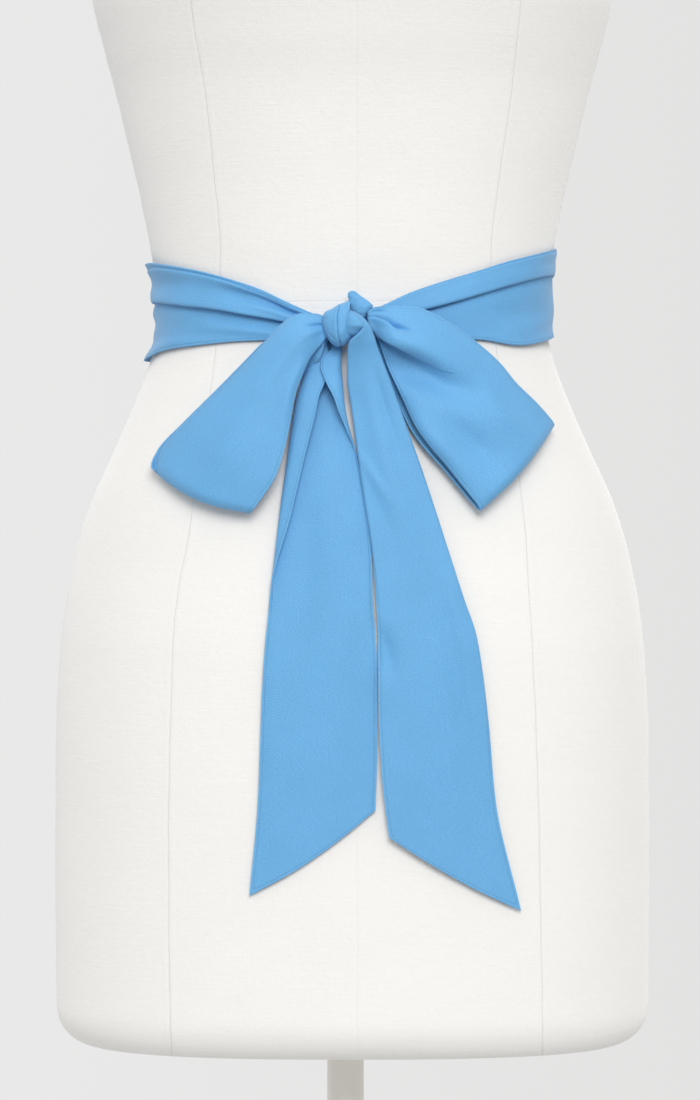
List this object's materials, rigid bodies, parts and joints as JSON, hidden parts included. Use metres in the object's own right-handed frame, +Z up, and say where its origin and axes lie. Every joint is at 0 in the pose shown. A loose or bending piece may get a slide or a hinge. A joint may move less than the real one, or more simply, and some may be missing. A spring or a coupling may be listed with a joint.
{
  "type": "satin sash on a dress form",
  "caption": "Long narrow crepe sash tied in a bow at the front waist of a limbless linen-covered dress form on a pole and round base.",
  "frame": {"origin": "centre of the base's underside, on the pole's axis", "axes": "+Z up along the pole; the form faces -Y, where the bow is; +X is to the right as the bow is looked at"},
  "size_m": [0.43, 0.43, 1.496],
  "materials": {
    "crepe": "matte sky-blue crepe with a fine pebbled grain and a low sheen",
    "linen": "off-white linen stretched over a hard form, matte",
    "white_enamel": "white paint, half gloss"
  },
  "bodies": {
    "root": {"sash_waist_left": "crepe", "sash_waist_right": "crepe", "sash_waist_back": "crepe", "sash_loop_left": "crepe", "sash_loop_right": "crepe", "sash_knot_wrap": "crepe", "sash_knot_cross": "crepe", "sash_knot_peak": "crepe", "sash_tail_left": "crepe", "sash_tail_right": "crepe", "form_body": "linen", "form_pole": "white_enamel", "form_base": "white_enamel"}
  },
  "joints": []
}
